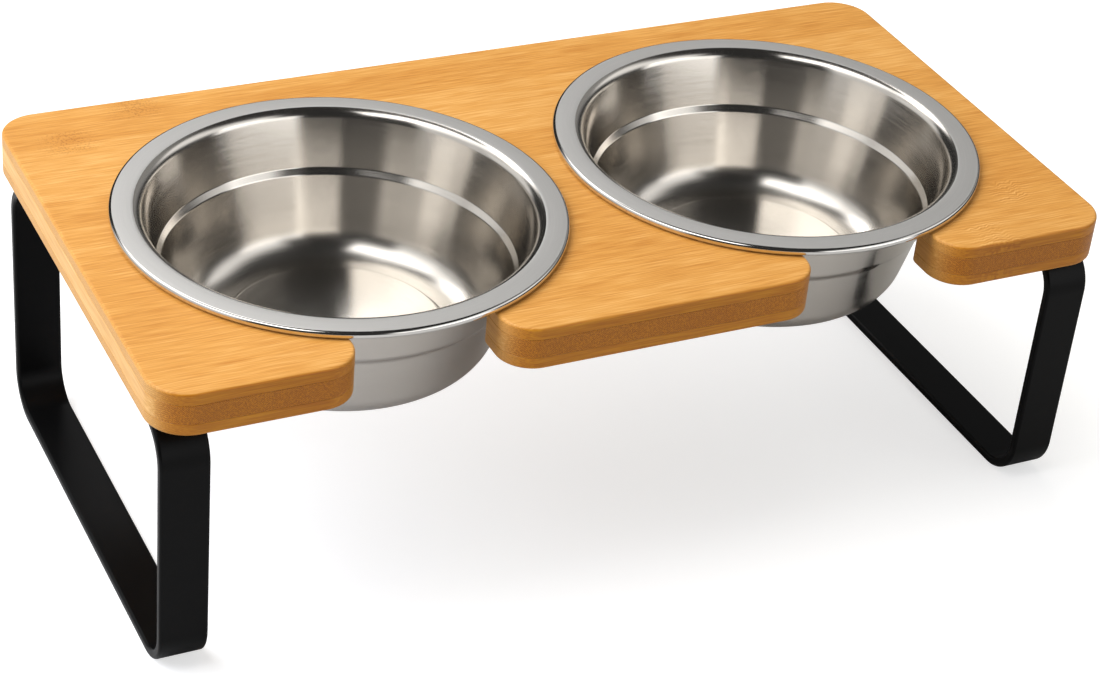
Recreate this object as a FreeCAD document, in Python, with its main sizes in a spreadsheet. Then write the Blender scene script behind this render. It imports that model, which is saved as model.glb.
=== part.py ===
# Elevated feeding stand: a three-ply bamboo board with two drop-in steel bowls
# on two bent flat-bar legs. Millimetres, +Z up, +X along the board, front at -Y.
# The origin lies on the floor, below the middle of the board.
import FreeCAD
import Part
import Sketcher
import math
import os

SIZES = {
    # bamboo board, three plies glued face to face
    "board_length": 400.0,
    "board_width": 208.0,
    "top_ply": 5.0,
    "core_ply": 8.0,
    "bottom_ply": 5.0,
    "board_corner": 16.0,
    "edge_ease": 1.2,
    # wood left round the bowl holes, which take the rest of the board
    "end_land": 27.0,
    "middle_land": 30.0,
    "front_land": 19.0,
    "rear_land": 31.0,
    "hole_clearance": 1.7,
    # finger slots that open the holes to the front edge
    "slot_width": 57.0,
    "slot_corner": 14.0,
    "slot_inner_corner": 4.0,
    "cut_overrun": 2.0,
    # bent flat-bar legs
    "leg_height": 110.0,
    "leg_front_setback": 4.0,
    "leg_rear_setback": 14.0,
    "leg_end_setback": 2.5,
    "bar_width": 19.0,
    "bar_thickness": 4.0,
    "leg_bend": 17.0,
    "bar_arris": 1.2,
    # button-head screws through the legs' top runs
    "screw_inset": 18.0,
    "shank_radius": 2.45,
    "screw_length": 12.0,
    "screw_clearance": 0.3,
    "screw_tip_chamfer": 0.6,
    "head_radius": 4.75,
    "head_height": 2.7,
    "head_round": 1.9,
    "socket_flats": 3.0,
    "socket_depth": 1.6,
    # threaded inserts in the underside of the board
    "insert_radius": 4.0,
    "insert_length": 10.0,
    "insert_chamfer": 0.5,
    "thread_clearance": 0.05,
    "insert_clearance": 0.05,
    "insert_end_clearance": 0.4,
    # drawn and spun bowls: heights and depths from the board's top, each taper the wall's slant
    "bowl_sheet": 0.8,
    "rim_width": 12.0,
    "rim_height": 3.6,
    "rim_fall": 0.4,
    "seat_clearance": 0.3,
    "roll_bend": 1.3,
    "roll_return": 4.0,
    "mouth_bend": 3.8,
    "step_depth": 20.0,
    "step_height": 3.1,
    "step_width": 2.2,
    "step_bend": 2.0,
    "upper_taper": 5.9,
    "lower_taper": 8.3,
    "floor_depth": 54.0,
    "floor_bend": 10.0,
    # raised disc in the middle of the floor, with a ring round it
    "ring_width": 14.0,
    "disc_rise": 2.5,
    "disc_bend": 1.2,
    # how near an edge has to lie to the place it is looked for
    "match_tolerance": 0.02,
}
floor_bend_limit_share = 0.96
roll_bend_limit_share = 0.46
hexagon_sides = 6
slope_offset_share = math.tan(math.radians(22.5))


class Size:
    # A number together with the sheet formula that gives it
    def __init__(self, number, formula):
        self.number = float(number)
        self.formula = formula

    def joined(self, sign, other, number):
        text = other.formula if isinstance(other, Size) else repr(other)
        return Size(number, "(%s %s %s)" % (self.formula, sign, text))

    def __add__(self, other):
        return self.joined("+", other, self.number + number_of(other))

    def __sub__(self, other):
        return self.joined("-", other, self.number - number_of(other))

    def __mul__(self, other):
        return self.joined("*", other, self.number * number_of(other))

    def __truediv__(self, other):
        return self.joined("/", other, self.number / number_of(other))

    def __neg__(self):
        return Size(-self.number, "(-1 * %s)" % self.formula)


def number_of(value):
    return value.number if isinstance(value, Size) else float(value)


def root(size):
    return Size(math.sqrt(size.number), "sqrt(%s)" % size.formula)


def lesser(first, second):
    return Size(min(first.number, second.number), "min(%s; %s)" % (first.formula, second.formula))


doc = FreeCAD.newDocument("feeding_stand")
sheet = doc.addObject("Spreadsheet::Sheet", "Sizes")
for row, (alias, number) in enumerate(SIZES.items(), start=1):
    sheet.set("A%d" % row, alias)
    sheet.set("B%d" % row, str(number))
    sheet.setAlias("B%d" % row, alias)
doc.recompute()
zero = Size(0, "0")
size = {alias: Size(sheet.get(alias), "Sizes." + alias) for alias in SIZES}
tolerance = size["match_tolerance"].number

# Sizes that follow from the driving ones
half_length = size["board_length"] / 2
half_width = size["board_width"] / 2
bowl_side = (half_length - size["end_land"] + size["middle_land"] / 2) / 2
bowl_line = (size["front_land"] - size["rear_land"]) / 2
hole_by_length = (size["board_length"] - size["end_land"] * 2 - size["middle_land"]) / 4
hole_by_width = (size["board_width"] - size["front_land"] - size["rear_land"]) / 2
hole_radius = lesser(hole_by_length, hole_by_width)
half_slot = size["slot_width"] / 2
slot_mouth = root(hole_radius * hole_radius - half_slot * half_slot)
bottom_ply_height = size["leg_height"]
core_ply_height = bottom_ply_height + size["bottom_ply"]
top_ply_height = core_ply_height + size["core_ply"]
board_top_height = top_ply_height + size["top_ply"]
leg_side = half_length - size["leg_end_setback"] - size["bar_width"] / 2
leg_line = (size["leg_front_setback"] - size["leg_rear_setback"]) / 2
leg_depth = size["board_width"] - size["leg_front_setback"] - size["leg_rear_setback"]
half_screws = leg_depth / 2 - size["leg_bend"] - size["screw_inset"]
insert_hole_radius = size["insert_radius"] + size["insert_clearance"]
core_hole_depth = size["insert_length"] + size["insert_end_clearance"] - size["bottom_ply"]
mouth_radius = hole_radius - size["hole_clearance"] - size["bowl_sheet"]
rim_radius = mouth_radius + size["rim_width"]
step_upper_radius = mouth_radius - size["upper_taper"]
step_lower_radius = step_upper_radius - size["step_width"]
floor_radius = step_lower_radius - size["lower_taper"]
disc_foot_radius = floor_radius - size["ring_width"]
disc_radius = disc_foot_radius - size["disc_rise"]


def new_body(label, across, along, height):
    body = doc.addObject("PartDesign::Body", label)
    body.Label = label
    body.AllowCompound = True
    body.Placement = FreeCAD.Placement()
    for axis, place in (("x", across), ("y", along), ("z", height)):
        body.setExpression("Placement.Base." + axis, place.formula)
    return body


def origin_feature(body, role):
    return next(item for item in body.Origin.OriginFeatures if item.Role == role)


def new_sketch(body, name, role, lift=zero):
    sketch = body.newObject("Sketcher::SketchObject", name)
    sketch.AttachmentSupport = [(origin_feature(body, role), "")]
    sketch.MapMode = "FlatFace"
    sketch.setExpression("AttachmentOffset.Base.z", lift.formula)
    return sketch


def bind(sketch, constraint, formula):
    index = sketch.addConstraint(constraint)
    sketch.setExpression("Constraints[%d]" % index, formula)


def hold_point(sketch, geometry, point, across, up):
    kinds = (("DistanceX", across), ("DistanceY", up))
    for kind, place in kinds:
        bind(sketch, Sketcher.Constraint(kind, -1, 1, geometry, point, place.number), place.formula)


def add_polygon(sketch, corners):
    places = [FreeCAD.Vector(across.number, up.number, 0) for across, up in corners]
    first = len(sketch.Geometry)
    for index, place in enumerate(places):
        sketch.addGeometry(Part.LineSegment(place, places[(index + 1) % len(places)]), False)
    for index, (across, up) in enumerate(corners):
        following = first + (index + 1) % len(corners)
        sketch.addConstraint(Sketcher.Constraint("Coincident", first + index, 2, following, 1))
        hold_point(sketch, first + index, 1, across, up)


def add_circle(sketch, across, up, radius):
    centre = FreeCAD.Vector(across.number, up.number, 0)
    upward = FreeCAD.Vector(0, 0, 1)
    geometry = sketch.addGeometry(Part.Circle(centre, upward, radius.number), False)
    hold_point(sketch, geometry, 3, across, up)
    bind(sketch, Sketcher.Constraint("Radius", geometry, radius.number), radius.formula)


def box_corners(low_across, high_across, low_up, high_up):
    return [(low_across, low_up), (high_across, low_up), (high_across, high_up), (low_across, high_up)]


def add_pad(body, sketch, length, both_ways=False):
    pad = body.newObject("PartDesign::Pad", "Pad")
    pad.Profile = sketch
    pad.SideType = "Symmetric" if both_ways else "One side"
    pad.setExpression("Length", length.formula)
    doc.recompute()
    return pad


def add_pocket(body, sketch, depth=None, upward=False):
    solid_before = body.Shape.Volume
    pocket = body.newObject("PartDesign::Pocket", "Pocket")
    pocket.Profile = sketch
    pocket.Reversed = upward
    if depth is None:
        pocket.Type = "ThroughAll"
    else:
        pocket.setExpression("Length", depth.formula)
    doc.recompute()
    if not body.Shape.Volume < solid_before:
        raise RuntimeError("a pocket of %s cuts nothing" % body.Label)
    return pocket


def add_revolution(body, sketch):
    turn = body.newObject("PartDesign::Revolution", "Revolution")
    turn.Profile = sketch
    turn.ReferenceAxis = (sketch, ["V_Axis"])
    doc.recompute()
    return turn


def add_fillet(body, name, wanted, radius):
    base = body.Tip
    edges = ["Edge%d" % (i + 1) for i, edge in enumerate(base.Shape.Edges) if wanted(edge)]
    if not edges:
        raise RuntimeError("%s of %s finds no edge" % (name, body.Label))
    fillet = body.newObject("PartDesign::Fillet", name)
    fillet.Base = (base, edges)
    fillet.setExpression("Radius", radius.formula)
    doc.recompute()
    return fillet


def repeat_along(body, spacing):
    pattern = body.newObject("PartDesign::LinearPattern", "Pair")
    pattern.TransformMode = "Whole shape"
    pattern.Direction = (origin_feature(body, "Y_Axis"), [""])
    pattern.Occurrences = 2
    pattern.setExpression("Length", spacing.formula)
    body.Tip = pattern
    doc.recompute()
    return pattern


def spans(edge, axis):
    # The edge's two coordinate ranges apart from the one along the axis, or None when it runs otherwise
    box = edge.BoundBox
    ranges = {"x": (box.XMin, box.XMax), "y": (box.YMin, box.YMax), "z": (box.ZMin, box.ZMax)}
    ranges.pop(axis)
    pair = list(ranges.values())
    straight = all(high - low < tolerance for low, high in pair)
    return [low for low, high in pair] if straight else None


def line_at(axis, places):
    # Straight edges along an axis through any of the places, given by the other two coordinates
    def wanted(edge):
        found = spans(edge, axis)
        if found is None:
            return False
        return any(
            abs(found[0] - first.number) < tolerance and abs(found[1] - second.number) < tolerance
            for first, second in places
        )

    return wanted


def level_at(height):
    def wanted(edge):
        box = edge.BoundBox
        return abs(box.ZMin - height.number) < tolerance and abs(box.ZMax - height.number) < tolerance

    return wanted


def ring_at(rings):
    # Circles round the Z axis, given by radius and height
    def wanted(edge):
        curve = edge.Curve
        if not isinstance(curve, Part.Circle):
            return False
        return any(
            abs(curve.Radius - radius.number) < tolerance and abs(curve.Center.z - height.number) < tolerance
            for radius, height in rings
        )

    return wanted


def make_ply(label, height, thickness, eased_height=None, insert_depth=None):
    body = new_body(label, zero, zero, height)
    outline = new_sketch(body, "outline", "XY_Plane")
    add_polygon(outline, box_corners(-half_length, half_length, -half_width, half_width))
    add_pad(body, outline, thickness)
    holes = new_sketch(body, "bowl_holes", "XY_Plane")
    slots = new_sketch(body, "finger_slots", "XY_Plane")
    front = -half_width - size["cut_overrun"]
    for middle in (-bowl_side, bowl_side):
        add_circle(holes, middle, bowl_line, hole_radius)
        add_polygon(slots, box_corners(middle - half_slot, middle + half_slot, front, bowl_line))
    add_pocket(body, holes, upward=True)
    add_pocket(body, slots, upward=True)
    corners = [(end, side) for end in (-half_length, half_length) for side in (-half_width, half_width)]
    slot_sides = [middle + edge for middle in (-bowl_side, bowl_side) for edge in (-half_slot, half_slot)]
    add_fillet(body, "board_corners", line_at("z", corners), size["board_corner"])
    slot_corners = [(side, -half_width) for side in slot_sides]
    add_fillet(body, "slot_corners", line_at("z", slot_corners), size["slot_corner"])
    inner_corners = [(side, bowl_line - slot_mouth) for side in slot_sides]
    add_fillet(body, "slot_inner_corners", line_at("z", inner_corners), size["slot_inner_corner"])
    if eased_height is not None:
        add_fillet(body, "eased_edge", level_at(eased_height), size["edge_ease"])
    if insert_depth is not None:
        insert_holes = new_sketch(body, "insert_holes", "XY_Plane")
        for side in (-leg_side, leg_side):
            for place in (leg_line - half_screws, leg_line + half_screws):
                add_circle(insert_holes, side, place, insert_hole_radius)
        add_pocket(body, insert_holes, insert_depth, upward=True)
    return body


def make_leg(label, side):
    # A flat bar bent into a closed loop that stands across the board
    body = new_body(label, side, leg_line, zero)
    thickness = size["bar_thickness"]
    half_depth = leg_depth / 2
    inner_depth = half_depth - thickness
    inner_top = size["leg_height"] - thickness
    loop = new_sketch(body, "loop", "YZ_Plane")
    add_polygon(loop, box_corners(-half_depth, half_depth, zero, size["leg_height"]))
    add_polygon(loop, box_corners(-inner_depth, inner_depth, thickness, inner_top))
    add_pad(body, loop, size["bar_width"], both_ways=True)
    outer = [(along, up) for along in (-half_depth, half_depth) for up in (zero, size["leg_height"])]
    inner = [(along, up) for along in (-inner_depth, inner_depth) for up in (thickness, inner_top)]
    add_fillet(body, "outer_bends", line_at("x", outer), size["leg_bend"])
    add_fillet(body, "inner_bends", line_at("x", inner), size["leg_bend"] - thickness)
    half_bar = size["bar_width"].number / 2

    def on_side_face(edge):
        box = edge.BoundBox
        return box.XLength < tolerance and abs(abs(box.Center.x) - half_bar) < tolerance

    add_fillet(body, "arrises", on_side_face, size["bar_arris"])
    holes = new_sketch(body, "screw_holes", "XY_Plane", size["leg_height"])
    for place in (-half_screws, half_screws):
        add_circle(holes, zero, place, size["shank_radius"] + size["screw_clearance"])
    add_pocket(body, holes, thickness)
    return body


def make_screws(label, side):
    # Two button-head screws with hexagon sockets, heads down against the top run's underside
    bearing = size["leg_height"] - size["bar_thickness"]
    body = new_body(label, side, leg_line - half_screws, bearing)
    head_base = -size["head_height"]
    tip = size["screw_length"]
    chamfer = size["screw_tip_chamfer"]
    half_view = new_sketch(body, "half_view", "XZ_Plane")
    add_polygon(
        half_view,
        [
            (zero, head_base),
            (size["head_radius"], head_base),
            (size["head_radius"], zero),
            (size["shank_radius"], zero),
            (size["shank_radius"], tip - chamfer),
            (size["shank_radius"] - chamfer, tip),
            (zero, tip),
        ],
    )
    add_revolution(body, half_view)
    add_fillet(body, "button", ring_at([(size["head_radius"], head_base)]), size["head_round"])
    socket = new_sketch(body, "socket", "XY_Plane", head_base)
    corner_radius = size["socket_flats"] / math.sqrt(3)
    corners = []
    for turn in range(hexagon_sides):
        angle = math.tau * turn / hexagon_sides
        corners.append((corner_radius * math.cos(angle), corner_radius * math.sin(angle)))
    add_polygon(socket, corners)
    add_pocket(body, socket, size["socket_depth"], upward=True)
    repeat_along(body, half_screws * 2)
    return body


def make_inserts(label, side):
    # Two brass sleeves flush with the underside of the board
    body = new_body(label, side, leg_line - half_screws, bottom_ply_height)
    bore = size["shank_radius"] + size["thread_clearance"]
    outside = size["insert_radius"]
    chamfer = size["insert_chamfer"]
    length = size["insert_length"]
    half_view = new_sketch(body, "half_view", "XZ_Plane")
    add_polygon(
        half_view,
        [
            (bore, zero),
            (outside, zero),
            (outside, length - chamfer),
            (outside - chamfer, length),
            (bore, length),
        ],
    )
    add_revolution(body, half_view)
    repeat_along(body, half_screws * 2)
    return body


def make_bowl(label, side):
    # One sheet: floor with a raised disc, lower wall, step, upper wall, flat rim and rolled edge
    body = new_body(label, side, bowl_line, board_top_height)
    sheet_thickness = size["bowl_sheet"]
    floor = -size["floor_depth"]
    disc = floor + size["disc_rise"]
    under_shift = sheet_thickness * slope_offset_share
    step_low = -size["step_depth"] - size["step_height"]
    step_high = -size["step_depth"]
    rim_edge_height = size["rim_height"] - size["rim_fall"]
    hem_radius = rim_radius - size["roll_return"]
    seat = size["seat_clearance"]
    food_side = [
        (zero, disc),
        (disc_radius, disc),
        (disc_foot_radius, floor),
        (floor_radius, floor),
        (step_lower_radius, step_low),
        (step_upper_radius, step_high),
        (mouth_radius, size["rim_height"]),
        (rim_radius, rim_edge_height),
        (rim_radius, seat),
        (hem_radius, seat),
    ]
    under_side = [
        (hem_radius, seat + sheet_thickness),
        (rim_radius - sheet_thickness, seat + sheet_thickness),
        (rim_radius - sheet_thickness, rim_edge_height - sheet_thickness),
        (mouth_radius + sheet_thickness, size["rim_height"] - sheet_thickness),
        (step_upper_radius + sheet_thickness, step_high),
        (step_lower_radius + sheet_thickness, step_low),
        (floor_radius + sheet_thickness, floor - sheet_thickness),
        (disc_foot_radius - under_shift, floor - sheet_thickness),
        (disc_radius - under_shift, disc - sheet_thickness),
        (zero, disc - sheet_thickness),
    ]
    half_view = new_sketch(body, "half_view", "XZ_Plane")
    add_polygon(half_view, food_side + under_side)
    add_revolution(body, half_view)
    lower_wall = size["floor_depth"] + step_low
    floor_bend = lesser(size["floor_bend"], lower_wall * floor_bend_limit_share)
    roll_wall = rim_edge_height - seat
    roll_bend = lesser(size["roll_bend"], roll_wall * roll_bend_limit_share)
    step_outside = size["step_bend"] + sheet_thickness
    roll_inside = roll_bend - sheet_thickness
    bends = [
        ("disc_bends_inside", [food_side[2], under_side[8]], size["disc_bend"]),
        ("disc_bends_outside", [food_side[1], under_side[7]], size["disc_bend"] + sheet_thickness),
        ("floor_bend_inside", food_side[3:4], floor_bend),
        ("floor_bend_outside", under_side[6:7], floor_bend + sheet_thickness),
        ("step_bends_inside", [food_side[5], under_side[5]], size["step_bend"]),
        ("step_bends_outside", [food_side[4], under_side[4]], step_outside),
        ("mouth_over", food_side[6:7], size["mouth_bend"] + sheet_thickness),
        ("mouth_under", under_side[3:4], size["mouth_bend"]),
        ("roll_outside", food_side[7:9], roll_bend),
        ("roll_inside", under_side[1:3], roll_inside),
    ]
    for name, rings, radius in bends:
        add_fillet(body, name, ring_at(rings), radius)
    return body


pieces = [
    make_ply("board_top_ply", top_ply_height, size["top_ply"], eased_height=size["top_ply"]),
    make_ply("board_core_ply", core_ply_height, size["core_ply"], insert_depth=core_hole_depth),
    make_ply("board_bottom_ply", bottom_ply_height, size["bottom_ply"], zero, size["bottom_ply"]),
]
for name, direction in (("left", -1), ("right", 1)):
    pieces.append(make_bowl(name + "_bowl", bowl_side * direction))
    pieces.append(make_leg(name + "_leg", leg_side * direction))
    pieces.append(make_screws(name + "_leg_screws", leg_side * direction))
    pieces.append(make_inserts(name + "_leg_inserts", leg_side * direction))
doc.recompute()

for item in doc.Objects:
    if "Invalid" in item.State or "Error" in item.State:
        raise RuntimeError("%s failed: %s" % (item.Label, item.State))
for piece in pieces:
    if piece.Shape.isNull() or not piece.Shape.isValid():
        raise RuntimeError("%s has no valid shape" % piece.Label)

os.makedirs("parts", exist_ok=True)
for piece in pieces:
    piece.Shape.exportStep("parts/%s.step" % piece.Label)
    volume = round(piece.Shape.Volume)
    print(piece.Label, "solids:", len(piece.Shape.Solids), "cubic millimetres:", volume)
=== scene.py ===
import math

import bpy
from mathutils import Matrix, Vector


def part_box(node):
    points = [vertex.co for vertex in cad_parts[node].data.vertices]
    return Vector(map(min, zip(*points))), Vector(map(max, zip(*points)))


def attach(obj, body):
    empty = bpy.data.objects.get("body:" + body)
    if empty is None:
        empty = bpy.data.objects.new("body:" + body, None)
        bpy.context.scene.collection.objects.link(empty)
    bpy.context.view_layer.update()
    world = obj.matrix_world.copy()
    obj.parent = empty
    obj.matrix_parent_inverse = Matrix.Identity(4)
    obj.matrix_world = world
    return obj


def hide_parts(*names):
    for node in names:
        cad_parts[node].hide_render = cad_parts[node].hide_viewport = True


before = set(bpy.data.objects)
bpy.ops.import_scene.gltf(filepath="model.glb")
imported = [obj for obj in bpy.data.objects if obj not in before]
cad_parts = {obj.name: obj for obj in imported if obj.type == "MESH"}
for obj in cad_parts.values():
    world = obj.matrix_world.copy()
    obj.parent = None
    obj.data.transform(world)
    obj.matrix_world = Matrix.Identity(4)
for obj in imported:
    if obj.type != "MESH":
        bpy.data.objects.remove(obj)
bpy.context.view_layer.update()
mm = 0.001
sides = ("left", "right")


# bamboo colours are given as screen values from 0 to 255
def screenColour(red, green, blue):
    def linear(value):
        share = value / 255
        return share / 12.92 if share <= 0.04045 else ((share + 0.055) / 1.055) ** 2.4
    return (linear(red), linear(green), linear(blue), 1.0)


def shaded(colour, share=1.0):
    return tuple(value * share for value in colour) + (1.0,)


# node tree helpers
def setInputs(tree, node, inputs):
    # a socket is linked, anything else becomes the input's own value
    for key, value in inputs.items():
        if isinstance(value, bpy.types.NodeSocket):
            tree.links.new(value, node.inputs[key])
        else:
            node.inputs[key].default_value = value


def addNode(tree, kind, inputs=None, **settings):
    made = tree.nodes.new(kind)
    for name, value in settings.items():
        setattr(made, name, value)
    setInputs(tree, made, inputs or {})
    return made


def calc(tree, operation, *values):
    inputs = dict(enumerate(values))
    return addNode(tree, "ShaderNodeMath", inputs, operation=operation).outputs[0]


def centred(tree, value):
    return calc(tree, "SUBTRACT", value, 0.5)


def remap(tree, value, low, high):
    # 0 at low, 1 at high and smooth between them
    inputs = {"Value": value, "From Min": low, "From Max": high}
    return addNode(tree, "ShaderNodeMapRange", inputs, interpolation_type="SMOOTHSTEP").outputs[0]


def joinXyz(tree, x, y, z):
    return addNode(tree, "ShaderNodeCombineXYZ", {0: x, 1: y, 2: z}).outputs[0]


def splitXyz(tree, vector):
    return addNode(tree, "ShaderNodeSeparateXYZ", {0: vector}).outputs


def dot(tree, first, second):
    inputs = {0: first, 1: second}
    return addNode(tree, "ShaderNodeVectorMath", inputs, operation="DOT_PRODUCT").outputs["Value"]


def noise(tree, vector, detail=2.0, roughness=0.5, scale=1.0):
    inputs = {"Vector": vector, "Scale": scale, "Detail": detail, "Roughness": roughness}
    return addNode(tree, "ShaderNodeTexNoise", inputs).outputs["Fac"]


def cells(tree, vector, scatter):
    inputs = {"Vector": vector, "Scale": 1.0, "Randomness": scatter}
    return addNode(tree, "ShaderNodeTexVoronoi", inputs).outputs["Distance"]


def mixColour(tree, share, first, second, blend="MIX"):
    inputs = {0: share, 6: first, 7: second}
    return addNode(tree, "ShaderNodeMix", inputs, data_type="RGBA", blend_type=blend).outputs[2]


def bump(tree, height, strength, depth):
    inputs = {"Height": height, "Strength": strength, "Distance": depth}
    return addNode(tree, "ShaderNodeBump", inputs).outputs[0]


def newMaterial(name):
    material = bpy.data.materials.new(name)
    material.use_nodes = True
    tree = material.node_tree
    tree.nodes.clear()
    shader = tree.nodes.new("ShaderNodeBsdfPrincipled")
    output = tree.nodes.new("ShaderNodeOutputMaterial")
    tree.links.new(shader.outputs[0], output.inputs[0])
    return material, tree, shader


def objectPoint(tree, centre=(0, 0, 0), turn=0.0):
    place = addNode(tree, "ShaderNodeTexCoord").outputs["Object"]
    inputs = {"Vector": place, "Location": centre, "Rotation": (0, 0, turn)}
    return addNode(tree, "ShaderNodeMapping", inputs, vector_type="TEXTURE").outputs[0]


def facing(tree, axis, low, high):
    # how far a face looks along the axis, either way: 0 below low, 1 above high
    normal = addNode(tree, "ShaderNodeTexCoord").outputs["Normal"]
    return remap(tree, calc(tree, "ABSOLUTE", dot(tree, normal, axis)), low, high)


# bamboo: fibres run along X of the pattern, so their ends show as dots on the faces across them
bamboo = {
    # tone from 0 to 1 and the colour there
    "tones": [(0.2, (185, 123, 50)), (0.5, (205, 147, 71)), (0.8, (220, 169, 100))],
    "bundle": (128, 72, 18),
    # pitch across the fibres, length along them, start in the noise and weight in the tone
    "fibre": {"pitch": 0.65 * mm, "length": 16 * mm, "start": 0.0, "weight": 1.05},
    "streak": {"pitch": 1.6 * mm, "length": 45 * mm, "start": 3.0, "weight": 0.3},
    "band": {"pitch": 8.0 * mm, "length": 200 * mm, "start": 7.0, "weight": 0.3},
    # lines sway a little everywhere and zigzag at a wavy joint
    "sway": {"pitch": 70 * mm, "length": 90 * mm, "start": 0.0, "reach": 2.0 * mm},
    "zigzag": {"pitch": 9 * mm, "length": 4.5 * mm, "start": 0.0, "reach": 7 * mm},
    # strips glued side by side, with a thin dark seam
    "stripWidth": 20.5 * mm,
    "stripStart": 0.35,
    "stripWeight": 0.2,
    "seamEdge": (0.485, 0.499),
    "seamShade": -0.12,
    # joints of the cane in the faces: middle along and across the grain, in millimetres
    "stippledJoints": [(-177, 77), (-143, 97)],
    "wavyJoints": [(173, -70), (146, -98)],
    "jointLength": 16 * mm,
    "jointWidth": 10.5 * mm,
    "jointFull": 0.6,  # share of the width at full strength
    "jointShade": -0.08,
    "jointDot": 1.0 * mm,
    "jointDotEdge": (0.55, 0.2),
    "jointDotScatter": 0.9,
    "jointDotStrength": 0.42,
    "ripplePitch": 1.7 * mm,
    "rippleWeight": 0.2,
    # bundles: short lines on the long faces, dots on the fibre ends
    "bundlePitch": 0.8 * mm,
    "bundleLength": 50 * mm,
    "bundleEdge": (0.65, 0.3),
    "bundleScatter": 0.35,
    "lineStrength": 0.08,
    # fibre ends: from which turn of the face, and how even tones and strips are there
    "endTurn": (0.25, 0.8),
    "endCalm": 0.75,
    "endStripCalm": -0.6,
    # darker long edges, partly a darker oiled cut edge and partly painted shade, and paler short ends, a
    # painted highlight: from which turn of the face, and where the short ends start
    "sideStainAndPaintedShadeTurn": (0.3, 0.9),
    "paintedEndHighlightTurn": (0.5, 0.95),
    "paintedEndHighlightFrom": (188 * mm, 199 * mm),
    # the paler short ends are a painted highlight, the light from the side painted into the colour
    "paintedEndHighlight": (1.1, 1.22, 1.5, 1),
    # darker long edges: partly a darker oiled cut edge, partly painted shade
    "face": {"turn": 0.0, "shift": 0.0, "sideStainAndPaintedShade": (0.87, 0.66, 0.1, 1), "endDots": 0.3},
    "core": {"turn": math.pi / 2, "shift": 5.0, "sideStainAndPaintedShade": (0.9, 0.67, 0.08, 1), "endDots": 0.6},
    "roughness": 0.42,
    "roughnessSpread": 0.25,
    "gloss": 0.36,
    "bundleDepth": -0.5,  # against the fibres' height
    "bumpStrength": 0.35,
    "bumpDepth": 0.06 * mm,
}


def jointMask(tree, along, across, places):
    total = None
    width = bamboo["jointWidth"]
    for x, y in places:
        fromX = calc(tree, "ABSOLUTE", calc(tree, "SUBTRACT", along, x * mm))
        fromY = calc(tree, "ABSOLUTE", calc(tree, "SUBTRACT", across, y * mm))
        shareX = remap(tree, fromX, bamboo["jointLength"], 0.0)
        shareY = remap(tree, fromY, width, width * bamboo["jointFull"])
        mask = calc(tree, "MULTIPLY", shareX, shareY)
        total = mask if total is None else calc(tree, "MAXIMUM", total, mask)
    return total


def toneRamp(tree, tone):
    ramp = addNode(tree, "ShaderNodeValToRGB", {0: tone})
    stops = ramp.color_ramp.elements
    while len(stops) < len(bamboo["tones"]):
        stops.new(1.0)
    for stop, (place, colour) in zip(stops, bamboo["tones"]):
        stop.position = place
        stop.color = screenColour(*colour)
    return ramp.outputs[0]


def edgeStainPaintedShadeAndHighlight(tree, colour, sideStainAndPaintedShade):
    white = (1, 1, 1, 1)
    # faces looking along Y are darkened: partly a darker oiled cut edge, partly painted shade
    front = facing(tree, (0, 1, 0), *bamboo["sideStainAndPaintedShadeTurn"])
    tint = mixColour(tree, front, white, sideStainAndPaintedShade)
    colour = mixColour(tree, 1.0, colour, tint, "MULTIPLY")
    # the short ends near the outer edges are paled: a painted highlight
    x = splitXyz(tree, objectPoint(tree))["X"]
    outer = remap(tree, calc(tree, "ABSOLUTE", x), *bamboo["paintedEndHighlightFrom"])
    outer = calc(tree, "MULTIPLY", outer, facing(tree, (1, 0, 0), *bamboo["paintedEndHighlightTurn"]))
    tint = mixColour(tree, outer, white, bamboo["paintedEndHighlight"])
    return mixColour(tree, 1.0, colour, tint, "MULTIPLY")


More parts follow.
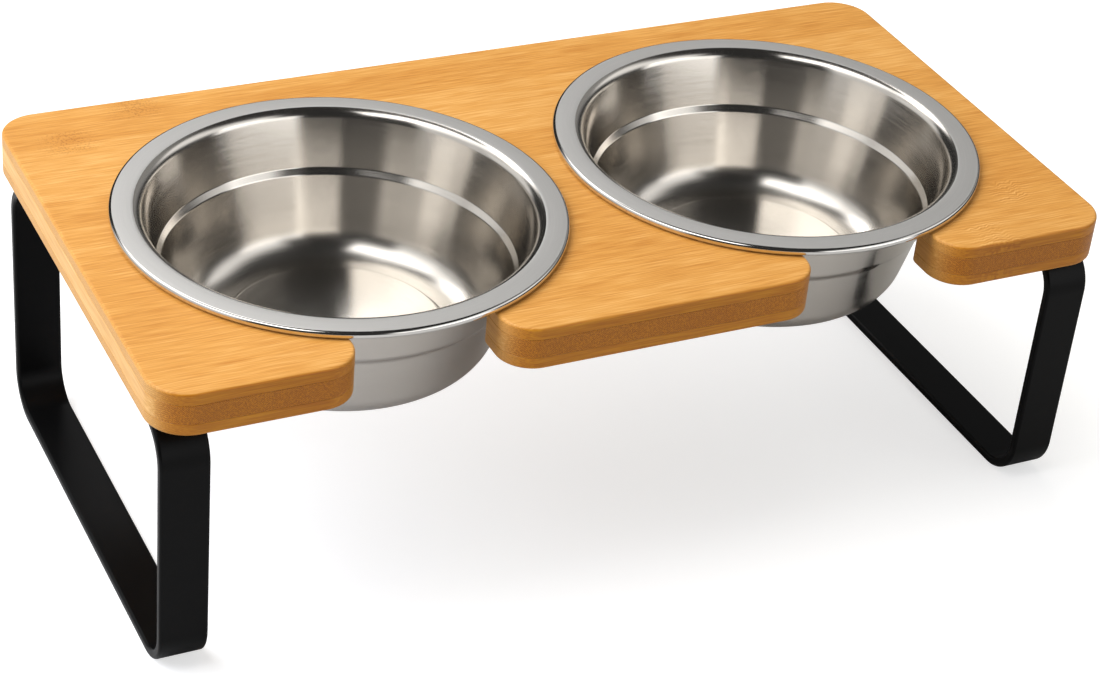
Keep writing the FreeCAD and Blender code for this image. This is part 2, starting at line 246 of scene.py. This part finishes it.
def makeBamboo(name, finish):
    material, tree, shader = newMaterial(name)
    turn, shift = finish["turn"], finish["shift"]
    along, across, up = splitXyz(tree, objectPoint(tree, turn=turn))
    stippled = jointMask(tree, along, across, bamboo["stippledJoints"])
    wavy = jointMask(tree, along, across, bamboo["wavyJoints"])

    def grain(line, kind):
        x = calc(tree, "ADD", calc(tree, "DIVIDE", along, kind["length"]), shift + kind["start"])
        y = calc(tree, "DIVIDE", line, kind["pitch"])
        z = calc(tree, "DIVIDE", up, kind["pitch"])
        return centred(tree, noise(tree, joinXyz(tree, x, y, z)))

    def addTone(tone, share, weight):
        return calc(tree, "MULTIPLY_ADD", share, weight, tone)

    def bend(key):
        return calc(tree, "MULTIPLY", grain(across, bamboo[key]), bamboo[key]["reach"])

    line = calc(tree, "ADD", across, bend("sway"))
    line = calc(tree, "ADD", line, calc(tree, "MULTIPLY", bend("zigzag"), wavy))
    fibre = grain(line, bamboo["fibre"])
    tone = addTone(0.5, fibre, bamboo["fibre"]["weight"])
    for key in ("streak", "band"):
        tone = addTone(tone, grain(line, bamboo[key]), bamboo[key]["weight"])
    ripple = calc(tree, "SINE", calc(tree, "MULTIPLY", line, 2 * math.pi / bamboo["ripplePitch"]))
    tone = addTone(tone, calc(tree, "MULTIPLY", ripple, wavy), bamboo["rippleWeight"])
    tone = addTone(tone, stippled, bamboo["jointShade"])
    # strips and their seams
    place = calc(tree, "DIVIDE", across, bamboo["stripWidth"])
    place = calc(tree, "ADD", place, shift + bamboo["stripStart"])
    number = {"W": calc(tree, "FLOOR", place)}
    strip = addNode(tree, "ShaderNodeTexWhiteNoise", number, noise_dimensions="1D").outputs["Value"]
    strip = centred(tree, strip)
    seam = calc(tree, "ABSOLUTE", centred(tree, calc(tree, "FRACT", place)))
    tone = addTone(tone, remap(tree, seam, *bamboo["seamEdge"]), bamboo["seamShade"])
    # the fibre ends are even in tone, with dots
    endFace = facing(tree, (math.cos(turn), math.sin(turn), 0), *bamboo["endTurn"])
    calm = calc(tree, "MULTIPLY", calc(tree, "SUBTRACT", 0.5, tone), bamboo["endCalm"])
    tone = addTone(tone, endFace, calm)
    share = calc(tree, "MULTIPLY_ADD", endFace, bamboo["endStripCalm"], 1.0)
    strip = calc(tree, "MULTIPLY", strip, share)
    tone = addTone(tone, strip, bamboo["stripWeight"])
    pitch = bamboo["bundlePitch"]
    rising = calc(tree, "DIVIDE", calc(tree, "ADD", line, up), pitch)
    falling = calc(tree, "DIVIDE", calc(tree, "SUBTRACT", line, up), pitch)
    spot = joinXyz(tree, calc(tree, "DIVIDE", along, bamboo["bundleLength"]), rising, falling)
    bundle = remap(tree, cells(tree, spot, bamboo["bundleScatter"]), *bamboo["bundleEdge"])
    strength = calc(tree, "MULTIPLY_ADD", endFace, finish["endDots"], bamboo["lineStrength"])
    bundleColour = screenColour(*bamboo["bundle"])
    share = calc(tree, "MULTIPLY", bundle, strength)
    colour = mixColour(tree, share, toneRamp(tree, tone), bundleColour)
    # a stippled joint has its own, rounder dots
    pitch = bamboo["jointDot"]
    spot = joinXyz(tree, calc(tree, "DIVIDE", along, pitch), calc(tree, "DIVIDE", line, pitch), 0.0)
    dots = remap(tree, cells(tree, spot, bamboo["jointDotScatter"]), *bamboo["jointDotEdge"])
    dots = calc(tree, "MULTIPLY", dots, stippled)
    share = calc(tree, "MULTIPLY", dots, bamboo["jointDotStrength"])
    colour = mixColour(tree, share, colour, bundleColour)
    height = calc(tree, "MULTIPLY_ADD", bundle, bamboo["bundleDepth"], fibre)
    setInputs(tree, shader, {
        "Base Color": edgeStainPaintedShadeAndHighlight(tree, colour, finish["sideStainAndPaintedShade"]),
        "Roughness": calc(tree, "MULTIPLY_ADD", fibre, bamboo["roughnessSpread"], bamboo["roughness"]),
        "Normal": bump(tree, height, bamboo["bumpStrength"], bamboo["bumpDepth"]),
        "Specular IOR Level": bamboo["gloss"],
    })
    return material


# bowl steel: fine rings from spinning, so highlights spread up the wall, and an even satin rim
steel = {
    # pitch along the sheet, radius of the circle through the noise and its start
    "fineRings": {"pitch": 0.45 * mm, "radius": 3.0, "start": 0.0},
    "coarseRings": {"pitch": 3.15 * mm, "radius": 2.0, "start": 9.0},
    "ringDetail": 3.0,
    "ringRoughness": 0.6,
    "ringShade": 0.12,
    "scratchStrength": 1.0,
    "scratchDepth": 0.0025 * mm,
    "nearAxis": 0.1 * mm,  # keeps the division safe on the axis
    "highlightTurn": 0.25,  # a quarter, so highlights spread up the wall
    # the floor is duller: where that starts and is full, from the board's top, and by how much
    "floorFrom": -34 * mm,
    "floorTo": -48 * mm,
    "floorDull": 0.05,
    "wall": {
        "colour": (0.73, 0.69, 0.635), "metal": 1.0,
        "roughness": 0.17, "spread": 0.1, "anisotropy": 0.88,
    },
    "rim": {
        "colour": (0.71, 0.695, 0.67), "metal": 0.8,
        "roughness": 0.44, "spread": 0.05, "anisotropy": 0.0,
    },
    "roll": {
        "colour": (0.74, 0.72, 0.69), "metal": 1.0,
        "roughness": 0.09, "spread": 0.03, "anisotropy": 0.0,
    },
}


def makeSteel(name, centre, finish):
    material, tree, shader = newMaterial(name)
    x, y, z = splitXyz(tree, objectPoint(tree, centre=centre))
    squares = calc(tree, "MULTIPLY", x, x), calc(tree, "MULTIPLY", y, y)
    radius = calc(tree, "SQRT", calc(tree, "ADD", *squares))
    safe = calc(tree, "MAXIMUM", radius, steel["nearAxis"])
    travel = calc(tree, "ADD", radius, z)

    def rings(kind):
        cosine = calc(tree, "MULTIPLY", calc(tree, "DIVIDE", x, safe), kind["radius"])
        sine = calc(tree, "MULTIPLY_ADD", calc(tree, "DIVIDE", y, safe), kind["radius"], kind["start"])
        place = joinXyz(tree, cosine, sine, calc(tree, "DIVIDE", travel, kind["pitch"]))
        return noise(tree, place, steel["ringDetail"], steel["ringRoughness"])

    fine, coarse = rings(steel["fineRings"]), rings(steel["coarseRings"])
    gloss = finish["roughness"]
    for marks in (fine, coarse):
        gloss = calc(tree, "MULTIPLY_ADD", centred(tree, marks), finish["spread"], gloss)
    dull = remap(tree, z, steel["floorFrom"], steel["floorTo"])
    shade = calc(tree, "MULTIPLY_ADD", centred(tree, fine), steel["ringShade"], 1.0)
    tangent = addNode(tree, "ShaderNodeTangent", direction_type="UV_MAP", uv_map="sheetMap")
    setInputs(tree, shader, {
        "Base Color": mixColour(tree, 1.0, shaded(finish["colour"]), shade, "MULTIPLY"),
        "Roughness": calc(tree, "MULTIPLY_ADD", dull, steel["floorDull"], gloss),
        "Normal": bump(tree, fine, steel["scratchStrength"], steel["scratchDepth"]),
        "Tangent": tangent.outputs[0],
        "Metallic": finish["metal"],
        "Anisotropic": finish["anisotropy"],
        "Anisotropic Rotation": steel["highlightTurn"],
    })
    return material


# powder coat: satin black with a fine even grain and faint clouds
coat = {
    "colour": (0.0022, 0.0022, 0.0023),
    "darkShare": 0.8,
    "paleShare": 1.25,
    "roughness": 0.36,
    "roughnessSpread": 0.12,
    "gloss": 0.11,
    "cloudScale": 45.0,
    "cloudDetail": 3.0,
    "grain": 0.5 * mm,
    "grainStrength": 0.4,
    "grainDepth": 0.02 * mm,
}


def makeCoat(name):
    material, tree, shader = newMaterial(name)
    point = objectPoint(tree)
    inputs = {0: point, "Scale": 1 / coat["grain"]}
    scaled = addNode(tree, "ShaderNodeVectorMath", inputs, operation="SCALE").outputs[0]
    cloud = noise(tree, point, coat["cloudDetail"], scale=coat["cloudScale"])
    dark = shaded(coat["colour"], coat["darkShare"])
    pale = shaded(coat["colour"], coat["paleShare"])
    spread = coat["roughnessSpread"]
    gloss = calc(tree, "MULTIPLY_ADD", centred(tree, cloud), spread, coat["roughness"])
    setInputs(tree, shader, {
        "Base Color": mixColour(tree, cloud, dark, pale),
        "Roughness": gloss,
        "Normal": bump(tree, noise(tree, scaled), coat["grainStrength"], coat["grainDepth"]),
        "Specular IOR Level": coat["gloss"],
    })
    return material


# screws and inserts: turned metal with faint tool marks
turned = {
    "aroundScale": 90,
    "darkShare": 0.75,
    "roughnessSpread": 0.2,
    "markStrength": 0.3,
    "markDepth": 0.01 * mm,
    "screw": {"colour": (0.02, 0.02, 0.022), "roughness": 0.35, "markPitch": 0.4 * mm},
    "insert": {"colour": (0.72, 0.47, 0.17), "roughness": 0.3, "markPitch": 0.5 * mm},
}


def makeTurned(name, finish):
    material, tree, shader = newMaterial(name)
    x, y, z = splitXyz(tree, objectPoint(tree))
    around = [calc(tree, "MULTIPLY", part, turned["aroundScale"]) for part in (x, y)]
    marks = noise(tree, joinXyz(tree, *around, calc(tree, "DIVIDE", z, finish["markPitch"])))
    dark = shaded(finish["colour"], turned["darkShare"])
    spread = turned["roughnessSpread"]
    gloss = calc(tree, "MULTIPLY_ADD", centred(tree, marks), spread, finish["roughness"])
    setInputs(tree, shader, {
        "Base Color": mixColour(tree, marks, dark, shaded(finish["colour"])),
        "Roughness": gloss,
        "Normal": bump(tree, marks, turned["markStrength"], turned["markDepth"]),
        "Metallic": 1.0,
    })
    return material


# mesh helpers
def newPiece(name, mesh, material):
    piece = bpy.data.objects.new(name, mesh)
    bpy.context.scene.collection.objects.link(piece)
    piece.data.materials.clear()
    piece.data.materials.append(material)
    return piece


def settleMesh(piece, weighted=True):
    # the piece keeps the result of its modifiers as a plain mesh
    if weighted:
        piece.modifiers.new("evenFaces", "WEIGHTED_NORMAL")
    graph = bpy.context.evaluated_depsgraph_get()
    result = piece.evaluated_get(graph)
    mesh = bpy.data.meshes.new_from_object(result, preserve_all_data_layers=True, depsgraph=graph)
    old = piece.data
    piece.modifiers.clear()
    piece.data = mesh
    bpy.data.meshes.remove(old)
    mesh.name = piece.name
    return piece


def arc(centre, radius, start, end, steps):
    turns = [math.radians(start + (end - start) * step / steps) for step in range(steps + 1)]
    return [(centre[0] + radius * math.cos(turn), centre[1] + radius * math.sin(turn)) for turn in turns]


def edgeLevels(roundness, steps):
    # insets and distances from the face of a rounded edge, from the face outwards
    levels = []
    for step in range(steps + 1):
        turn = math.pi / 2 * step / steps
        levels.append((roundness * (1 - math.sin(turn)), roundness * (1 - math.cos(turn))))
    return levels


def loftRings(name, rings, material):
    count = len(rings[0])
    points = [point for ring in rings for point in ring]
    faces = [tuple(reversed(range(count)))]
    for level in range(len(rings) - 1):
        low, high = level * count, (level + 1) * count
        for step in range(count):
            after = (step + 1) % count
            faces.append((low + step, low + after, high + after, high + step))
    faces.append(tuple(range((len(rings) - 1) * count, len(rings) * count)))
    mesh = bpy.data.meshes.new(name)
    mesh.from_pydata(points, [], faces)
    mesh.shade_smooth()
    return newPiece(name, mesh, material)


# board: one outline for its three plies, with the bowl holes open to the front edge
board = {
    "corner": 16 * mm,
    "cornerSteps": 14,
    "ease": 1.2 * mm,
    "easeSteps": 4,
    "slotWidth": 57 * mm,
    "slotCorner": 14 * mm,
    "slotCornerSteps": 12,
    "slotInnerCorner": 4 * mm,
    "slotInnerSteps": 8,
    "holeRadius": 79 * mm,
    "holeSteps": 96,
    "glueGroove": 0.28 * mm,
    "supportRing": 0.5 * mm,
}
boardLow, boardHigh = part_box("board_bottom_ply")[0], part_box("board_top_ply")[1]
bowlCentres = {}
for side in sides:
    low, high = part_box(side + "_bowl")
    bowlCentres[side] = ((low.x + high.x) / 2, (low.y + high.y) / 2)


def slotOutline(centre, inset):
    half = board["slotWidth"] / 2 + inset
    hole = board["holeRadius"] + inset
    outer = board["slotCorner"] - inset
    inner = board["slotInnerCorner"] - inset
    outerSteps, innerSteps = board["slotCornerSteps"], board["slotInnerSteps"]
    front = boardLow.y + inset
    innerX = half + inner
    innerY = -math.sqrt((hole + inner) ** 2 - innerX ** 2)
    lean = math.degrees(math.atan2(-innerY, innerX))
    x, y = centre
    points = arc((x - half - outer, front + outer), outer, -90, 0, outerSteps)
    points += arc((x - innerX, y + innerY), inner, 0, lean, innerSteps)
    points += arc(centre, hole, 180 + lean, -lean, board["holeSteps"])[1:-1]
    points += arc((x + innerX, y + innerY), inner, 180 - lean, 180, innerSteps)
    points += arc((x + half + outer, front + outer), outer, 180, 270, outerSteps)
    return points


def boardOutline(inset):
    corner, steps = board["corner"] - inset, board["cornerSteps"]
    left, right = boardLow.x + inset + corner, boardHigh.x - inset - corner
    front, rear = boardLow.y + inset + corner, boardHigh.y - inset - corner
    points = arc((left, front), corner, 180, 270, steps)
    for side in sides:
        points += slotOutline(bowlCentres[side], inset)
    points += arc((right, front), corner, 270, 360, steps)
    points += arc((right, rear), corner, 0, 90, steps)
    points += arc((left, rear), corner, 90, 180, steps)
    return points


def makePly(node, lowRound, highRound, material):
    low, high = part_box(node)[0].z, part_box(node)[1].z
    support, steps = board["supportRing"], board["easeSteps"]
    levels = [(lowRound + support, low)]
    levels += [(inset, low + drop) for inset, drop in edgeLevels(lowRound, steps)]
    levels += [(inset, high - drop) for inset, drop in reversed(edgeLevels(highRound, steps))]
    levels += [(highRound + support, high)]
    rings = [[(x, y, z) for x, y in boardOutline(inset)] for inset, z in levels]
    piece = settleMesh(loftRings(node.replace("board_", "bamboo_"), rings, material))
    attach(piece, "stand")
    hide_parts(node)
    return piece


faceBamboo = makeBamboo("bambooFace", bamboo["face"])
coreBamboo = makeBamboo("bambooCore", bamboo["core"])
makePly("board_top_ply", board["glueGroove"], board["ease"], faceBamboo)
makePly("board_core_ply", board["glueGroove"], board["glueGroove"], coreBamboo)
makePly("board_bottom_ply", board["ease"], board["glueGroove"], faceBamboo)
print("bamboo plies made")

# bowls: one sheet turned about the axis, in millimetres
bowl = {
    # radius, height from the board's top and bend, from the raised disc's middle to the rolled hem
    "foodSide": [(0, -51.5, 0), (43.6, -51.0, 2.0), (46.1, -54.0, 1.2), (60.1, -54.0, 13.5),
                 (68.6, -22.4, 2.2), (70.5, -20.0, 1.6), (76.5, 3.6, 4.6),
                 (88.5, 3.2, 1.3), (88.5, 0.3, 1.3), (84.5, 0.3, 0)],
    "underSide": [(0, -52.3, 0), (43.3, -52.3, 1.2), (45.8, -54.8, 2.0), (60.9, -54.8, 14.3),
                  (69.3, -22.8, 5.0), (71.2, -20.4, 5.5), (77.3, 2.8, 3.8),
                  (87.7, 2.4, 0.5), (87.7, 1.1, 0.5), (84.5, 1.1, 0)],
    "rimInner": 79.5,
    "rollInner": 87.1,
    "floorSteps": 14,
    "bendSteps": 14,  # in a quarter turn
    "fewestSteps": 4,
    "around": 224,
}


def bendPath(corners):
    # a line through the corners with each corner rounded by its radius
    points = [Vector(corners[0][:2])]
    for before, corner, after in zip(corners, corners[1:], corners[2:]):
        spot = Vector(corner[:2])
        back = (Vector(before[:2]) - spot).normalized()
        ahead = (Vector(after[:2]) - spot).normalized()
        radius = corner[2]
        half = back.angle(ahead) / 2
        centre = spot + (back + ahead).normalized() * radius / math.sin(half)
        start = spot + back * radius / math.tan(half) - centre
        turn = start.angle_signed(spot + ahead * radius / math.tan(half) - centre)
        count = max(bowl["fewestSteps"], round(bowl["bendSteps"] * abs(turn) / (math.pi / 2)))
        for step in range(count + 1):
            points.append(centre + Matrix.Rotation(-turn * step / count, 2) @ start)
    points.append(Vector(corners[-1][:2]))
    return points


def spreadFloor(path):
    # rings between the axis and the disc's edge, as a shallow dish
    middle, edge = path[:2]
    dish = []
    for step in range(bowl["floorSteps"]):
        share = step / bowl["floorSteps"]
        dish.append(Vector((edge.x * share, middle.y + (edge.y - middle.y) * share ** 2)))
    return dish + path[1:]


def bowlProfile():
    inside = spreadFloor(bendPath(bowl["foodSide"]))
    outside = spreadFloor(bendPath(bowl["underSide"]))
    return inside + outside[::-1]


def revolveSheet(name, profile, centre, height, materials):
    steps = bowl["around"]
    points, faces, marks, finishes = [], [], [], []
    lengths = [0.0]
    for first, second in zip(profile, profile[1:]):
        lengths.append(lengths[-1] + (second - first).length)
    rows = []
    for radius, level in profile:
        if radius == 0:
            rows.append([len(points)])
            points.append((centre[0], centre[1], height + level * mm))
            continue
        rows.append(list(range(len(points), len(points) + steps)))
        for step in range(steps):
            turn = 2 * math.pi * step / steps
            points.append((centre[0] + radius * mm * math.cos(turn),
                           centre[1] + radius * mm * math.sin(turn),
                           height + level * mm))
    for index, (inner, outer) in enumerate(zip(rows, rows[1:])):
        near, far = sorted((profile[index].x, profile[index + 1].x))
        # wall, rim or rolled edge
        finish = 2 if near > bowl["rollInner"] else 1 if far > bowl["rimInner"] else 0
        finishes += [finish] * steps
        low, high = lengths[index] * mm, lengths[index + 1] * mm
        for step in range(steps):
            after = (step + 1) % steps
            left, right = step / steps, (step + 1) / steps
            if len(inner) == 1:
                faces.append((inner[0], outer[step], outer[after]))
                marks += [(left, low), (left, high), (right, high)]
            elif len(outer) == 1:
                faces.append((inner[step], outer[0], inner[after]))
                marks += [(left, low), (left, high), (right, low)]
            else:
                faces.append((inner[step], outer[step], outer[after], inner[after]))
                marks += [(left, low), (left, high), (right, high), (right, low)]
    mesh = bpy.data.meshes.new(name)
    mesh.from_pydata(points, [], faces)
    layer = mesh.uv_layers.new(name="sheetMap")
    for loop, mark in zip(layer.data, marks):
        loop.uv = mark
    mesh.shade_smooth()
    piece = newPiece(name, mesh, materials[0])
    for material in materials[1:]:
        piece.data.materials.append(material)
    mesh.polygons.foreach_set("material_index", finishes)
    return piece


for side, centre in bowlCentres.items():
    axisPoint = (centre[0], centre[1], boardHigh.z)
    finishes = {"Wall": steel["wall"], "Rim": steel["rim"], "Roll": steel["roll"]}
    steels = [makeSteel(side + "Bowl" + name, axisPoint, finish) for name, finish in finishes.items()]
    piece = revolveSheet(side + "_steel_bowl", bowlProfile(), centre, boardHigh.z, steels)
    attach(piece, side + "_bowl")
    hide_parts(side + "_bowl")
print("bowls turned")

# legs: flat bar swept round a closed loop by geometry nodes
leg = {"thickness": 4 * mm, "bend": 17 * mm, "arris": 1.2 * mm, "bendSteps": 18, "arrisSteps": 5}


def geometryTree(name, sizes):
    tree = bpy.data.node_groups.new(name, "GeometryNodeTree")
    tree.interface.new_socket("Geometry", in_out="INPUT", socket_type="NodeSocketGeometry")
    for label, kind in sizes.items():
        tree.interface.new_socket(label, in_out="INPUT", socket_type=kind)
    tree.interface.new_socket("Geometry", in_out="OUTPUT", socket_type="NodeSocketGeometry")
    return tree, tree.nodes.new("NodeGroupInput"), tree.nodes.new("NodeGroupOutput")


def endTree(tree, shape, result, material):
    shape = addNode(tree, "GeometryNodeRealizeInstances", {0: shape}).outputs[0]
    inputs = {"Geometry": shape, "Material": material}
    shape = addNode(tree, "GeometryNodeSetMaterial", inputs).outputs[0]
    tree.links.new(shape, result.inputs[0])


def setTree(piece, tree, values):
    modifier = piece.modifiers.new("shape", "NODES")
    modifier.node_group = tree
    for item in tree.interface.items_tree:
        if item.in_out == "INPUT" and item.name in values:
            modifier[item.identifier] = values[item.name]


def roundedBox(tree, width, height, radius, steps):
    inputs = {"Width": width, "Height": height}
    outline = addNode(tree, "GeometryNodeCurvePrimitiveQuadrilateral", inputs).outputs[0]
    inputs = {"Curve": outline, "Radius": radius, "Count": steps}
    return addNode(tree, "GeometryNodeFilletCurve", inputs, mode="POLY").outputs[0]


def loopTree(material):
    sizes = dict.fromkeys(("Depth", "Height", "Width", "Thickness", "Bend", "Arris"), "NodeSocketFloat")
    sizes["Centre"] = "NodeSocketVector"
    tree, given, result = geometryTree("bentBarLoop", sizes)
    size = given.outputs
    quarter = math.pi / 2
    # the path runs along the middle of the bar
    depth = calc(tree, "SUBTRACT", size["Depth"], size["Thickness"])
    height = calc(tree, "SUBTRACT", size["Height"], size["Thickness"])
    half = calc(tree, "MULTIPLY", size["Thickness"], 0.5)
    bend = calc(tree, "SUBTRACT", size["Bend"], half)
    path = roundedBox(tree, depth, height, bend, leg["bendSteps"])
    path = addNode(tree, "GeometryNodeSetCurveNormal", {"Curve": path}, mode="Z_UP").outputs[0]
    section = roundedBox(tree, size["Thickness"], size["Width"], size["Arris"], leg["arrisSteps"])
    bar = addNode(tree, "GeometryNodeCurveToMesh", {0: path, 1: section}).outputs[0]
    upright = {"Geometry": bar, "Translation": size["Centre"], "Rotation": (quarter, 0, quarter)}
    bar = addNode(tree, "GeometryNodeTransform", upright).outputs[0]
    bar = addNode(tree, "GeometryNodeSetShadeSmooth", {0: bar}).outputs[0]
    endTree(tree, bar, result, material)
    return tree


blackCoat = makeCoat("blackPowderCoat")
barTree = loopTree(blackCoat)
for side in sides:
    low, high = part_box(side + "_leg")
    values = {"Depth": high.y - low.y, "Height": high.z - low.z, "Width": high.x - low.x,
              "Thickness": leg["thickness"], "Bend": leg["bend"], "Arris": leg["arris"],
              "Centre": tuple((low + high) / 2)}
    name = side + "_bar_leg"
    piece = newPiece(name, bpy.data.meshes.new(name), blackCoat)
    setTree(piece, barTree, values)
    settleMesh(piece)
    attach(piece, "stand")
    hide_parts(side + "_leg")
print("legs bent")

# screws: a button head with a hexagon socket, head down, repeated along the leg by geometry nodes
screw = {
    "headRadius": 4.75 * mm,
    "headHeight": 2.7 * mm,
    "headRound": 1.9 * mm,
    "headSteps": 8,
    "shankRadius": 2.45 * mm,
    "tipChamfer": 0.6 * mm,
    "socketFlats": 3.0 * mm,
    "socketDepth": 1.6 * mm,
    "perLeg": 2,
    "around": 48,
    "sharpAngle": 30,
}


def screwRings(x, y, bottom, tip):
    turns = [2 * math.pi * step / screw["around"] for step in range(screw["around"])]
    corner = math.pi / 3

    def ring(radius, z):
        return [(x + radius * math.cos(turn), y + radius * math.sin(turn), z) for turn in turns]

    def hexagon(z):
        points = []
        for turn in turns:
            reach = screw["socketFlats"] / 2 / math.cos(turn % corner - corner / 2)
            points.append((x + reach * math.cos(turn), y + reach * math.sin(turn), z))
        return points

    head, shank, chamfer = screw["headRadius"], screw["shankRadius"], screw["tipChamfer"]
    dome = edgeLevels(screw["headRound"], screw["headSteps"])
    bearing = bottom + screw["headHeight"]
    rings = [hexagon(bottom + screw["socketDepth"]), hexagon(bottom)]
    rings += [ring(head - inset, bottom + drop) for inset, drop in dome]
    rings += [ring(head, bearing), ring(shank, bearing)]
    rings += [ring(shank, tip - chamfer), ring(shank - chamfer, tip)]
    return rings


def rowTree(material):
    sizes = {"Count": "NodeSocketInt", "Spacing": "NodeSocketFloat"}
    tree, given, result = geometryTree("screwRow", sizes)
    offset = joinXyz(tree, 0.0, given.outputs["Spacing"], 0.0)
    line = {"Count": given.outputs["Count"], "Offset": offset}
    points = addNode(tree, "GeometryNodeMeshLine", line, mode="OFFSET", count_mode="TOTAL").outputs[0]
    copies = {"Points": points, "Instance": given.outputs["Geometry"]}
    row = addNode(tree, "GeometryNodeInstanceOnPoints", copies).outputs[0]
    endTree(tree, row, result, material)
    return tree


blackSteel = makeTurned("blackScrewSteel", turned["screw"])
brass = makeTurned("turnedBrass", turned["insert"])
screwTree = rowTree(blackSteel)
for side in sides:
    low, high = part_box(side + "_leg_screws")
    first = low.y + screw["headRadius"]
    spacing = high.y - low.y - 2 * screw["headRadius"]
    rings = screwRings((low.x + high.x) / 2, first, low.z, high.z)
    piece = loftRings(side + "_button_screws", rings, blackSteel)
    piece.data.set_sharp_from_angle(angle=math.radians(screw["sharpAngle"]))
    setTree(piece, screwTree, {"Count": screw["perLeg"], "Spacing": spacing})
    settleMesh(piece, weighted=False)
    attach(piece, "stand")
    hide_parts(side + "_leg_screws")
    # the inserts are hidden in the board and keep their solids
    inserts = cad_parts[side + "_leg_inserts"]
    inserts.data.materials.clear()
    inserts.data.materials.append(brass)
print("fasteners finished")

# studio: pale floor, soft lamps for the light and soft panels for what the steel mirrors
studio = {
    "floorSize": 12.0,
    "floorColour": (0.55, 0.55, 0.55, 1.0),
    "floorRoughness": 0.9,
    "floorGlow": 0.63,
    "aim": (0.0, 0.0, 0.1),
    # bearing, height angle, distance, width, power and tint
    "lamps": {
        "leftKey": (168, 36, 1.4, 1.0, 17.2, (0.97, 1.0, 1.1)),
        "top": (110, 78, 1.8, 1.5, 14.6, (1.0, 0.95, 0.83)),
    },
    "fill": 0.03,
    # bearing, half width, lowest and highest angle, brightness and softness of the edge
    "panels": {
        "overLeft": (182, 50, 54, 80, 2.6, 6),
        "leftBox": (158, 40, 38, 56, 1.4, 6),
        "leftLow": (181, 22, -8, 40, 0.65, 6),
        "rightHigh": (-25, 42, 24, 50, 1.0, 8),
        "rightLow": (-61, 25, -8, 30, 1.5, 4),
        "rear": (38, 28, 16, 46, 0.25, 8),
        "veil": (98, 28, 36, 52, 2.9, 4),
        "leftRear": (136, 22, 4, 34, 0.8, 6),
    },
}


def cameraSees(tree):
    return addNode(tree, "ShaderNodeLightPath").outputs["Is Camera Ray"]


def makeFloor():
    reach = studio["floorSize"] / 2
    corners = [(-reach, -reach, 0), (reach, -reach, 0), (reach, reach, 0), (-reach, reach, 0)]
    mesh = bpy.data.meshes.new("studioFloor")
    mesh.from_pydata(corners, [], [(0, 1, 2, 3)])
    material, tree, shader = newMaterial("paleFloor")
    setInputs(tree, shader, {
        "Base Color": studio["floorColour"],
        "Roughness": studio["floorRoughness"],
        "Specular IOR Level": 0.0,
        "Emission Color": (1, 1, 1, 1),
        "Emission Strength": calc(tree, "MULTIPLY", cameraSees(tree), studio["floorGlow"]),
    })
    newPiece("studioFloor", mesh, material)


def panelLight(tree, way, elevation, panel):
    bearing, halfWidth, low, high, strength, soft = panel
    middle = (math.cos(math.radians(bearing)), math.sin(math.radians(bearing)), 0)
    aside = calc(tree, "DEGREES", calc(tree, "ARCCOSINE", dot(tree, way, middle)))
    across = remap(tree, aside, halfWidth + soft, halfWidth - soft)
    above = remap(tree, elevation, low - soft, low + soft)
    below = remap(tree, elevation, high + soft, high - soft)
    across = calc(tree, "MULTIPLY", across, strength)
    return calc(tree, "MULTIPLY", across, calc(tree, "MULTIPLY", above, below))


def makeWorld():
    world = bpy.data.worlds.new("softStudio")
    bpy.context.scene.world = world
    world.use_nodes = True
    tree = world.node_tree
    tree.nodes.clear()
    way = addNode(tree, "ShaderNodeTexCoord").outputs["Generated"]
    x, y, z = splitXyz(tree, way)
    elevation = calc(tree, "DEGREES", calc(tree, "ARCSINE", z))
    flat = {0: joinXyz(tree, x, y, 0.0)}
    level = addNode(tree, "ShaderNodeVectorMath", flat, operation="NORMALIZE").outputs[0]
    light = studio["fill"]
    for panel in studio["panels"].values():
        light = calc(tree, "ADD", panelLight(tree, level, elevation, panel), light)
    # the camera itself sees plain white
    light = addNode(tree, "ShaderNodeMix", {0: cameraSees(tree), 2: light, 3: 1.0}).outputs[0]
    background = addNode(tree, "ShaderNodeBackground", {"Color": (1, 1, 1, 1), "Strength": light})
    output = tree.nodes.new("ShaderNodeOutputWorld")
    tree.links.new(background.outputs[0], output.inputs[0])


def addLamp(name, bearing, height, distance, width, power, tint):
    data = bpy.data.lights.new(name, "AREA")
    data.shape = "SQUARE"
    data.size = width
    data.energy = power
    data.color = tint
    turn, lift = math.radians(bearing), math.radians(height)
    away = Vector((math.cos(turn) * math.cos(lift), math.sin(turn) * math.cos(lift), math.sin(lift)))
    lamp = bpy.data.objects.new(name, data)
    lamp.location = Vector(studio["aim"]) + away * distance
    lamp.rotation_euler = away.to_track_quat("Z", "Y").to_euler()
    lamp.visible_glossy = False  # the steel mirrors the panels, not the lamps
    bpy.context.scene.collection.objects.link(lamp)


makeFloor()
makeWorld()
for name, lamp in studio["lamps"].items():
    addLamp(name, *lamp)
print("studio lit")

# camera: its place, line of sight and right-hand side in the frame, with the photograph's slight roll
view = {
    "eye": (-0.4406, -0.8277, 0.6606),
    "ahead": (0.39697, 0.73585, -0.54868),
    "right": (0.90160, -0.42453, 0.08310),
    "focalPixels": 2687.0,
    "imageWidth": 1100.0,
    "sensorWidth": 36.0,
    "clip": (0.05, 50.0),
}
cameraData = bpy.data.cameras.new("photoCamera")
cameraData.sensor_width = view["sensorWidth"]
cameraData.lens = view["focalPixels"] * view["sensorWidth"] / view["imageWidth"]
cameraData.clip_start, cameraData.clip_end = view["clip"]
camera = bpy.data.objects.new("photoCamera", cameraData)
bpy.context.scene.collection.objects.link(camera)
ahead = Vector(view["ahead"]).normalized()
right = Vector(view["right"]).normalized()
upward = right.cross(ahead)
axes = Matrix((right, upward, -ahead)).transposed().to_4x4()
camera.matrix_world = Matrix.Translation(view["eye"]) @ axes
bpy.context.scene.camera = camera
bpy.context.scene.view_settings.view_transform = "Standard"
print("camera set")
